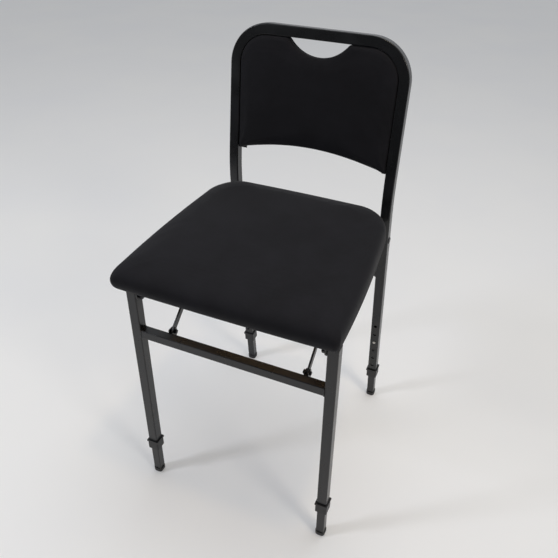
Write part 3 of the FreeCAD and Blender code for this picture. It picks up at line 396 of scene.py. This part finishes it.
def pad_mesh(name, outline, profile, crown, to_world):
    """A closed pad. profile lists (inset, height) from the back grid's rim to the front grid's rim."""
    builder = bmesh.new()

    def face_grid(inset, height, swell):
        grid = patch_between(*outline(inset))
        rows, columns = len(grid) - 1, len(grid[0]) - 1
        made = []
        for row, line in enumerate(grid):
            v = 2 * row / rows - 1
            made.append([])
            for column, point in enumerate(line):
                u = 2 * column / columns - 1
                rise = swell * (1 - abs(u) ** CROWN_POWER) * (1 - abs(v) ** CROWN_POWER)
                made[-1].append(builder.verts.new(to_world(point.x, point.y, height + rise)))
        return made

    back = face_grid(*profile[0], 0.0)
    rows, columns = len(back) - 1, len(back[0]) - 1
    rim = rim_of(columns, rows)
    rings = [[back[row][column] for row, column in rim]]
    for inset, height in profile[1:-1]:
        grid = patch_between(*outline(inset))
        rings.append([builder.verts.new(to_world(*grid[row][column], height)) for row, column in rim])
    front = face_grid(*profile[-1], crown)
    rings.append([front[row][column] for row, column in rim])
    for grid, flip in ((back, True), (front, False)):
        for row in range(rows):
            for column in range(columns):
                corners = [grid[row][column], grid[row][column + 1],
                           grid[row + 1][column + 1], grid[row + 1][column]]
                builder.faces.new(corners[::-1] if flip else corners)
    for lower, upper in zip(rings, rings[1:]):
        for place in range(len(rim)):
            after = (place + 1) % len(rim)
            builder.faces.new((lower[place], lower[after], upper[after], upper[place]))
    return object_from(builder, name)


# %% [markdown]
# ## Let the covers settle with a cloth simulation
# Foam under a stretched cover pushes it out until the cloth is tight. Sculpting could imitate that,
# but a cloth modifier finds it, with a little pressure inside a closed mesh and no gravity. The part
# that is stapled to the board is pinned. Twenty frames are enough, no point may move further than a
# cap, and the result is written into the mesh, so the piece needs no simulation afterwards.

# %% Cloth and subdivision helpers
CLOTH_FRAMES = 20


def plump(piece, is_stapled, cap, pressure):
    """Swell a pad under its cover. is_stapled says which points stay, and cap limits the others."""
    start = [vertex.co.copy() for vertex in piece.data.vertices]
    pins = piece.vertex_groups.new(name="stapled")
    pins.add([i for i, co in enumerate(start) if is_stapled(co)], 1.0, "REPLACE")
    cloth = piece.modifiers.new("cover", "CLOTH")
    cloth.settings.quality = 6
    cloth.settings.mass = 0.25
    cloth.settings.tension_stiffness = 12
    cloth.settings.compression_stiffness = 12
    cloth.settings.shear_stiffness = 6
    cloth.settings.bending_stiffness = 0.8
    cloth.settings.vertex_group_mass = "stapled"
    cloth.settings.use_pressure = True
    cloth.settings.uniform_pressure_force = pressure
    cloth.settings.effector_weights.gravity = 0
    cloth.collision_settings.use_collision = False
    scene = bpy.context.scene
    for number in range(1, CLOTH_FRAMES + 1):
        scene.frame_set(number)
    swollen = piece.evaluated_get(bpy.context.evaluated_depsgraph_get())
    moved = [vertex.co.copy() for vertex in swollen.data.vertices]
    piece.modifiers.remove(cloth)
    furthest = 0.0
    for vertex, before, after in zip(piece.data.vertices, start, moved):
        step = after - before
        if step.length > cap:
            step = step.normalized() * cap
        furthest = max(furthest, step.length)
        vertex.co = before + step
    scene.frame_set(1)
    print("plump:", piece.name, "moved up to", round(furthest * 1000, 1), "mm")


def smooth_finish(piece):
    """One level of subdivision, kept as a modifier."""
    rounder = piece.modifiers.new("rounder", "SUBSURF")
    rounder.levels = rounder.render_levels = 1


# %% [markdown]
# ## The seat
# Foam lies on the board and its cover wraps round the board's edge. Seen from above the seat narrows
# to the rear, with sides that bulge a little, sharp front corners and wide rear corners. Seen from
# the side its foam is a wedge, 2 cm thicker at the rear.

# %% Seat outline
SEAT_FRONT_HALF, SEAT_REAR_HALF, SEAT_NOSE, SEAT_BACK = 0.2018, 0.1776, -0.2277, 0.134
SEAT_COLUMNS = (6, 44, 6)    # squares in the left corner, the run and the right corner
SEAT_ROWS = (6, 40, 10)      # squares in the front corner, the run and the rear corner
EDGE_BOW = 0.4               # how far the front and back edges bow, as a share of the sides' bulge


def rearward(y):
    """How far along the seat a place is: 0 at the nose and 1 at the back edge."""
    return (y - SEAT_NOSE) / (SEAT_BACK - SEAT_NOSE)


def seat_outline(insets):
    """Four curves of the seat seen from above, each row narrowing to the rear."""
    side, side_rear, front_in, back_in, bulge, front_round, back_round = insets
    half = SEAT_FRONT_HALF - side
    front, back = SEAT_NOSE + front_in, SEAT_BACK - back_in
    out = Vector((bulge, 0))
    down = Vector((0, -bulge * EDGE_BOW))
    low_left = (-half + front_round, front + front_round)
    low_right = (half - front_round, front + front_round)
    high_left = (-half + back_round, back - back_round)
    high_right = (half - back_round, back - back_round)
    bottom = chain(
        arc(low_left, front_round, 225, 270, SEAT_COLUMNS[0]),
        bow(Vector((low_left[0], front)), down, Vector((low_right[0], front)), SEAT_COLUMNS[1]),
        arc(low_right, front_round, 270, 315, SEAT_COLUMNS[2]))
    top = chain(
        arc(high_left, back_round, 135, 90, SEAT_COLUMNS[0]),
        bow(Vector((high_left[0], back)), -down, Vector((high_right[0], back)), SEAT_COLUMNS[1]),
        arc(high_right, back_round, 90, 45, SEAT_COLUMNS[2]))
    left = chain(
        arc(low_left, front_round, 225, 180, SEAT_ROWS[0]),
        bow(Vector((-half, low_left[1])), -out, Vector((-half, high_left[1])), SEAT_ROWS[1]),
        arc(high_left, back_round, 180, 135, SEAT_ROWS[2]))
    right = chain(
        arc(low_right, front_round, -45, 0, SEAT_ROWS[0]),
        bow(Vector((half, low_right[1])), out, Vector((half, high_right[1])), SEAT_ROWS[1]),
        arc(high_right, back_round, 0, 45, SEAT_ROWS[2]))

    def narrowed(point):
        share = rearward(point.y)
        wanted = SEAT_FRONT_HALF - side + share * (SEAT_REAR_HALF - side_rear - SEAT_FRONT_HALF + side)
        return Vector((point.x * wanted / half, point.y))

    return tuple([narrowed(point) for point in curve] for curve in (bottom, right, top, left))


print("seat:", 2 * SEAT_FRONT_HALF, "wide,", round(SEAT_BACK - SEAT_NOSE, 4), "deep")

# %% [markdown]
# ## The seat's profile
# The front of the seat rolls over towards the floor in one long curve, so that its edge doesn't
# press on the sitter's legs. A bevelled box would have the same roll on all four sides, so the
# profile is a table instead. Each row says, in millimetres, how far that row stands in from the
# widest outline at its sides in front, its sides at the rear, its front edge and its back edge,
# then how far its sides bulge, how round its front and rear corners are, and how high it lies
# above the board's underside.

# %% Seat profile
SEAT_RISE = 0.02075
SEAT_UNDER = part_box("seat_board")[0][2]
BOARD_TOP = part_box("seat_board")[1][2]
BOARD_GAP = 0.0004       # the cover's hidden underside floats this far above the board
WEDGE_GROWS = 0.020      # the wedge has its full slope from this height above the underside


def seat_row(side, side_rear, front_in, back_in, bulge, front_round, back_round, height):
    """One row of the profile, from millimetres to metres."""
    insets = (side, side_rear, front_in, back_in, bulge, front_round, back_round)
    return tuple(inset / 1000 for inset in insets), SEAT_UNDER + height / 1000


def on_wedge(x, y, z):
    """Lift a point by the foam's wedge, which grows from nothing at the board's underside."""
    share = min(1.0, (z - SEAT_UNDER) / WEDGE_GROWS)
    return Vector((x, y, z + SEAT_RISE * rearward(y) * share))


board_clear = BOARD_TOP - SEAT_UNDER + BOARD_GAP
seat_profile = [
    # the hidden underside, then the lip beside the board, the rim and the roll-over
    seat_row(15.2, 18.3, 31.2, 14.5, 0, 16, 45, board_clear * 1000),
    seat_row(15.2, 18.3, 31.2, 14.5, 0, 16, 45, 6),
    seat_row(14.8, 17.8, 30.8, 14.0, 0, 16, 45, 0.3),
    seat_row(12, 12, 25, 8, 3, 13, 56, -2),
    seat_row(7, 7, 17, 4, 4, 12, 57, -0.5),
    seat_row(4, 4.5, 11, 2, 4.5, 11, 58, 4),
    seat_row(1.6, 2, 5.5, 0.6, 4.5, 11, 59, 10),
    seat_row(0.4, 0.8, 1.8, 0.2, 4.5, 12, 59, 16.5),
    seat_row(0.2, 0.6, 0.4, 0.4, 4.5, 13, 60, 23),
    seat_row(1.0, 1.4, 1.0, 1, 4.5, 15, 60, 29),
    seat_row(2.8, 3.2, 3.4, 2.6, 4.5, 18, 61, 35),
    seat_row(6.6, 7, 9.5, 6, 4, 22, 62, 40.7),
    seat_row(12.6, 13, 19.5, 12, 3, 28, 63, 45.2),
    seat_row(22, 22, 38, 21, 2.5, 34, 65, 48.4),
    seat_row(34, 34, 62, 34, 1.5, 42, 68, 50.6),
]
print("seat profile:", len(seat_profile), "rows above", round(SEAT_UNDER, 4))

# %% [markdown]
# ## The seat's cover
# The cover is stapled to the board, so every point up to the board's top is held while the foam
# swells the rest.

# %% Seat cushion
SEAT_CROWN = 0.005
STAPLE_REACH = 0.001    # points this far above the board's top, or lower, are held


def held_by_board(co):
    return co.z < on_wedge(0, co.y, BOARD_TOP + STAPLE_REACH).z


seat_cover = pad_mesh("seat_cushion_cover", seat_outline, seat_profile, SEAT_CROWN, on_wedge)
plump(seat_cover, held_by_board, cap=0.0012, pressure=4.0)
smooth_finish(seat_cover)
seat_cover.data.materials.append(black_knit)
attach(seat_cover, "seat")
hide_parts("seat_cushion")

# %% [markdown]
# ## The back rest
# The back rest is a padded panel that fills the top of the bent tube. Its outline follows the
# tube's corners, its lower edge is a shallow arch, and its top has a half-moon cut-out, which with
# the tube above makes the hand hole. It is drawn in the plane of the back rest, across and up the
# slope from the point where the tube bends, and its heights run forwards from that plane.

# %% The back rest's own plane and outline
BEND_POINT = Vector((0, 0.1539, 0.555))
UP_THE_BACK = Vector((0, 0.11425, 0.99345))
FORWARD = Vector((0, -0.99345, 0.11425))
PAD_HALF, PAD_LOW, PAD_HIGH = 0.1485, 0.0506, 0.2628
PAD_CORNER, PAD_FOOT, PAD_ARCH = 0.0522, 0.006, 0.021
HAND_HALF, HAND_DEPTH = 0.0565, 0.029
CORNER_STEPS, FOOT_STEPS, SIDE_STEPS = 8, 3, 27
SHOULDER_STEPS, HAND_STEPS = 6, 24
# the lower curve needs as many squares as the top one
ARCH_STEPS = 2 * (CORNER_STEPS + SHOULDER_STEPS - FOOT_STEPS) + HAND_STEPS


def on_back(across, up, forward):
    """From the back rest's own plane to the room."""
    return Vector((across, 0, 0)) + BEND_POINT + UP_THE_BACK * up + FORWARD * forward


def back_outline(inset):
    """Four curves of the back pad, drawn in from the widest outline."""
    half, low, high = PAD_HALF - inset, PAD_LOW + inset, PAD_HIGH - inset
    corner, foot = PAD_CORNER - inset, PAD_FOOT
    hand_half = HAND_HALF + inset
    hand_radius = (hand_half ** 2 + HAND_DEPTH ** 2) / (2 * HAND_DEPTH)
    hand_centre = high - HAND_DEPTH + hand_radius
    swing = math.degrees(math.asin(hand_half / hand_radius))
    top = chain(
        arc((-half + corner, high - corner), corner, 135, 90, CORNER_STEPS),
        bow(Vector((-half + corner, high)), STRAIGHT, Vector((-hand_half, high)), SHOULDER_STEPS),
        arc((0, hand_centre), hand_radius, 270 - swing, 270 + swing, HAND_STEPS),
        bow(Vector((hand_half, high)), STRAIGHT, Vector((half - corner, high)), SHOULDER_STEPS),
        arc((half - corner, high - corner), corner, 90, 45, CORNER_STEPS))
    lower = chain(
        arc((-half + foot, low + foot), foot, 225, 270, FOOT_STEPS),
        bow(Vector((-half + foot, low)), Vector((0, PAD_ARCH)), Vector((half - foot, low)), ARCH_STEPS),
        arc((half - foot, low + foot), foot, 270, 315, FOOT_STEPS))
    left = chain(
        arc((-half + foot, low + foot), foot, 225, 180, FOOT_STEPS),
        bow(Vector((-half, low + foot)), STRAIGHT, Vector((-half, high - corner)), SIDE_STEPS),
        arc((-half + corner, high - corner), corner, 180, 135, CORNER_STEPS))
    right = chain(
        arc((half - foot, low + foot), foot, -45, 0, FOOT_STEPS),
        bow(Vector((half, low + foot)), STRAIGHT, Vector((half, high - corner)), SIDE_STEPS),
        arc((half - corner, high - corner), corner, 0, 45, CORNER_STEPS))
    return lower, right, top, left


print("back rest:", 2 * PAD_HALF, "wide,", round(PAD_HIGH - PAD_LOW, 4), "up the slope")

# %% [markdown]
# ## The back pad
# The pad is thin foam over a stiff panel, so it is nearly flat, with a tight rounded rim. Its
# staples are behind, so only the points close to the plane are held.

# %% Back pad
BACK_CROWN = 0.0006
STAPLED_DEPTH = 0.001    # points up to this far in front of the plane are held

pad_profile = [
    (0.0015, -0.0008), (0.0004, 0.0002), (0.0, 0.0025), (0.0, 0.0055),
    (0.0006, 0.0082), (0.0022, 0.0104), (0.0050, 0.0118), (0.0090, 0.0125),
]


def held_by_panel(co):
    return (co - BEND_POINT).dot(FORWARD) < STAPLED_DEPTH


back_cover = pad_mesh("back_pad_cover", back_outline, pad_profile, BACK_CROWN, on_back)
plump(back_cover, held_by_panel, cap=0.0016, pressure=1.0)
smooth_finish(back_cover)
back_cover.data.materials.append(black_knit)
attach(back_cover, "back_frame")
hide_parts("back_pad")

# %% [markdown]
# ## The panel behind the pad
# Seen from behind, a thin board wrapped in the same knit closes the back rest. It has the pad's
# outline and no foam, so it is left flat, with a small round at its edges and no simulation.

# %% Covered back panel
panel_profile = [
    (0.0040, -0.0070), (0.0018, -0.0068), (0.0006, -0.0058),
    (0.0002, -0.0042), (0.0004, -0.0024), (0.0012, -0.0014), (0.0026, -0.0010),
]
back_panel_cover = pad_mesh("back_panel_cover", back_outline, panel_profile, 0.0, on_back)
smooth_finish(back_panel_cover)
back_panel_cover.data.materials.append(black_knit)
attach(back_panel_cover, "back_frame")
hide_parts("back_panel")

# %% [markdown]
# ## Welds
# The crossbars are welded to the legs. A weld bead is a rope of melted steel with a ripple for
# each pulse of the torch, and the powder coat runs over it. A bump texture could draw it, but a
# bead stands off the steel and rounds the corner it fills, so it is geometry: a thin tube round the
# bar's end, its thickness waving along the way.

# %% Weld bead
BAR_CORNER = 0.0015      # the round on a bar's edges
BEAD_STEP = 0.0008       # from one ring of the bead to the next
BEAD_SIDES = 8
RIPPLE_TURN = 2.1        # radians of the ripple's wave for each ring
RIPPLE, UNEVENNESS = 0.18, 0.2
LUMPS_PER_METRE = 900


def bar_outline(half_width, half_height):
    """Points about BEAD_STEP apart round a rectangular bar's end."""
    path = []
    for sign_a, sign_b, turn in ((1, 1, 0), (-1, 1, 90), (-1, -1, 180), (1, -1, 270)):
        centre = (sign_a * (half_width - BAR_CORNER), sign_b * (half_height - BAR_CORNER))
        path += arc(centre, BAR_CORNER, turn, turn + 90, 3)
    dense = []
    for place, point in enumerate(path):
        after = path[(place + 1) % len(path)]
        steps = max(1, round((after - point).length / BEAD_STEP))
        dense += [point.lerp(after, step / steps) for step in range(steps)]
    return dense


def weld_bead(name, middle, across, upwards, half_width, half_height, radius):
    """A rippled bead round a rectangular bar's end, in the plane of across and upwards."""
    dense = bar_outline(half_width, half_height)
    outward = across.cross(upwards)
    builder = bmesh.new()
    rings = []
    for place, point in enumerate(dense):
        before, after = dense[place - 1], dense[(place + 1) % len(dense)]
        along = (after - before).normalized()
        normal = Vector((along.y, -along.x))
        wobble = noise.noise(Vector((point.x, point.y, middle.x + middle.y)) * LUMPS_PER_METRE)
        size = radius * (1 + RIPPLE * math.sin(place * RIPPLE_TURN) + UNEVENNESS * wobble)
        ring = []
        for side in range(BEAD_SIDES):
            angle = 2 * math.pi * side / BEAD_SIDES
            flat = point + normal * (size * math.cos(angle))
            spot = middle + across * flat.x + upwards * flat.y + outward * (size * math.sin(angle))
            ring.append(builder.verts.new(spot))
        rings.append(ring)
    for place, ring in enumerate(rings):
        after = rings[(place + 1) % len(rings)]
        for side in range(BEAD_SIDES):
            other = (side + 1) % BEAD_SIDES
            builder.faces.new((ring[side], ring[other], after[other], after[side]))
    return object_from(builder, name)


# %% [markdown]
# ## A bead at each end of both crossbars
# The front crossbar is upright. The rear one leans with the rear legs, so its box says nothing
# about its own width, and the width of its 17 mm tube is given instead.

# %% Weld the crossbars
UPRIGHT = Vector((0, 0, 1))
REAR_LEG_LEAN = Vector((0, -0.115717, 0.993282))
REAR_BAR_HALF = 0.0085
BEAD_RADIUS = 0.0011
BEAD_INWARD = 0.0006    # how far the bead's middle stands in from the bar's end

for bar_name, body_name in (("front_crossbar", "front_frame"), ("rear_crossbar", "back_frame")):
    low, high = (Vector(corner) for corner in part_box(bar_name))
    upwards, half_depth, half_rise = UPRIGHT, (high.y - low.y) / 2, (high.z - low.z) / 2
    if bar_name == "rear_crossbar":
        upwards, half_depth, half_rise = REAR_LEG_LEAN, REAR_BAR_HALF, REAR_BAR_HALF
    for side_name, x in (("left", low.x), ("right", high.x)):
        inward = -math.copysign(1, x)
        middle = Vector((x + inward * BEAD_INWARD, (low.y + high.y) / 2, (low.z + high.z) / 2))
        across = Vector((1, 0, 0)).cross(upwards)
        bead = weld_bead(f"weld_{bar_name}_{side_name}", middle, across, upwards,
                         half_depth, half_rise, BEAD_RADIUS)
        bead.data.materials.append(black_powder_coat)
        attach(bead, body_name)

# %% [markdown]
# ## The floor
# The floor is plain and white, and turns dark grey from 1.1 m in front of the chair. That edge
# matters: the back tube mirrors the floor far in front, so it looks nearly black, while the front
# legs mirror the floor close by and look grey. The white is faintly cloudy, over about half a
# metre, and glows a little, which brightens it with no more light on the chair.

# %% Floor
FLOOR_HALF = 6.0
WHITE_EDGE = -1.1
EDGE_BLUR = 0.15
FLOOR_GLOW = 0.13
FLOOR_CLOUD = 1 / 2.2


def matt_ground(name, white, shaded_white, far_grey):
    material, place = start_material(name)
    cloudy = add_node(material, "ShaderNodeTexNoise",
                      {"Vector": place, "Scale": 1 / FLOOR_CLOUD, "Detail": 3.0})
    pale = add_node(material, "ShaderNodeMix", data_type="RGBA",
                    inputs={"Factor": cloudy.outputs["Fac"],
                            "A": linear(white), "B": linear(shaded_white)})
    parts = add_node(material, "ShaderNodeSeparateXYZ", {"Vector": place})
    nearness = add_node(material, "ShaderNodeMapRange",
                        {"Value": parts.outputs["Y"],
                         "From Min": WHITE_EDGE - EDGE_BLUR, "From Max": WHITE_EDGE + EDGE_BLUR})
    shade = add_node(material, "ShaderNodeMix", data_type="RGBA",
                     inputs={"Factor": nearness.outputs["Result"],
                             "A": linear(far_grey), "B": pale.outputs["Result"]})
    ground = add_node(material, "ShaderNodeBsdfPrincipled",
                      {"Base Color": shade.outputs["Result"], "Roughness": 0.9,
                       "Specular IOR Level": 0.1, "Emission Color": shade.outputs["Result"],
                       "Emission Strength": FLOOR_GLOW})
    return finish_material(material, ground)


floor_mesh = bpy.data.meshes.new("floor")
floor_mesh.from_pydata(
    [(-FLOOR_HALF, -FLOOR_HALF, 0), (FLOOR_HALF, -FLOOR_HALF, 0),
     (FLOOR_HALF, FLOOR_HALF, 0), (-FLOOR_HALF, FLOOR_HALF, 0)], [], [(0, 1, 2, 3)])
floor = bpy.data.objects.new("floor", floor_mesh)
bpy.context.scene.collection.objects.link(floor)
floor.data.materials.append(matt_ground("pale_floor", "#E6E6E4", "#DFE0E2", "#4A4A4C"))
print("floor:", 2 * FLOOR_HALF, "m square")

# %% [markdown]
# ## The light from all round
# Black steel shows little but what it mirrors, and a plain even world would give it nothing to
# mirror. So the world is bright behind the chair and to its sides, and dim in front.

# %% World
DIM_IN_FRONT, BRIGHT_BEHIND = 0.16, 0.72

world = bpy.data.worlds.new("white_room")
bpy.context.scene.world = world
world.use_nodes = True
world.node_tree.nodes.clear()
facing = add_node(world, "ShaderNodeTexCoord")
direction = add_node(world, "ShaderNodeSeparateXYZ", {"Vector": facing.outputs["Generated"]})
behind = add_node(world, "ShaderNodeMapRange",
                  {"Value": direction.outputs["Y"], "From Min": -0.7, "From Max": 0.1,
                   "To Min": DIM_IN_FRONT, "To Max": BRIGHT_BEHIND})
white_room = add_node(world, "ShaderNodeBackground",
                      {"Color": linear("#E6E8EC"), "Strength": behind.outputs["Result"]})
add_node(world, "ShaderNodeOutputWorld", {"Surface": white_room.outputs["Background"]})
print("world:", len(world.node_tree.nodes), "nodes")

# %% [markdown]
# ## Lamps
# Three soft lamps give the broad, weak highlights on the tubes and the faint shadows on the floor.
# A small warm one adds the few sharper glints. All four are round area lamps, because a point lamp
# would draw hard shadows.

# %% Lamps
LAMP_TARGET = Vector((0, 0, 0.4))


def soft_lamp(name, place, size, power, colour):
    """A round area lamp that points at the middle of the chair."""
    lamp = bpy.data.lights.new(name, "AREA")
    lamp.shape = "DISK"
    lamp.size = size
    lamp.energy = power
    lamp.color = linear(colour)[:3]
    holder = bpy.data.objects.new(name, lamp)
    holder.location = place
    holder.rotation_euler = (LAMP_TARGET - Vector(place)).to_track_quat("-Z", "Y").to_euler()
    bpy.context.scene.collection.objects.link(holder)
    print("lamp:", name, power, "W")


soft_lamp("lamp_front_left", (-1.7, -1.5, 1.9), 0.45, 18, "#F4F7FF")
soft_lamp("lamp_front_right", (1.9, -1.0, 1.9), 0.6, 12, "#FFF6EA")
soft_lamp("lamp_above", (0.2, 0.5, 2.8), 1.6, 15, "#FFFFFF")
soft_lamp("ceiling_bulb", (0.5, -0.3, 2.6), 0.2, 6, "#FFE4BC")

# %% [markdown]
# ## Camera
# The camera's place was worked out from the straight edges of the legs and bars in the photograph:
# about 1.1 m up, in front and to the right, looking down by 35 degrees, with a very slight roll.

# %% Camera
CAMERA_PLACE = Vector((0.394587, -0.886761, 1.105922))
CAMERA_TURN = math.radians(23.6284)
CAMERA_DIP = math.radians(34.9272)
CAMERA_ROLL = math.radians(0.6459)
SENSOR_WIDTH, FOCAL_LENGTH = 36.0, 40.9212    # in millimetres
SIDEWAYS_SHIFT = 0.0009                       # half a pixel of the photograph

ahead = Vector((-math.sin(CAMERA_TURN) * math.cos(CAMERA_DIP),
                math.cos(CAMERA_TURN) * math.cos(CAMERA_DIP), -math.sin(CAMERA_DIP)))
rightward = ahead.cross(UPRIGHT).normalized()
upward = rightward.cross(ahead)
rolled_right = rightward * math.cos(CAMERA_ROLL) + upward * math.sin(CAMERA_ROLL)
rolled_up = upward * math.cos(CAMERA_ROLL) - rightward * math.sin(CAMERA_ROLL)
camera_data = bpy.data.cameras.new("camera")
camera_data.sensor_fit = "HORIZONTAL"
camera_data.sensor_width = SENSOR_WIDTH
camera_data.lens = FOCAL_LENGTH
camera_data.shift_x = SIDEWAYS_SHIFT
camera_data.clip_start = 0.01
camera = bpy.data.objects.new("camera", camera_data)
turned = Matrix((rolled_right, rolled_up, -ahead)).transposed()
camera.matrix_world = Matrix.Translation(CAMERA_PLACE) @ turned.to_4x4()
bpy.context.scene.collection.objects.link(camera)
bpy.context.scene.camera = camera
bpy.context.scene.view_settings.view_transform = "Standard"
print("camera:", [round(c, 3) for c in CAMERA_PLACE])
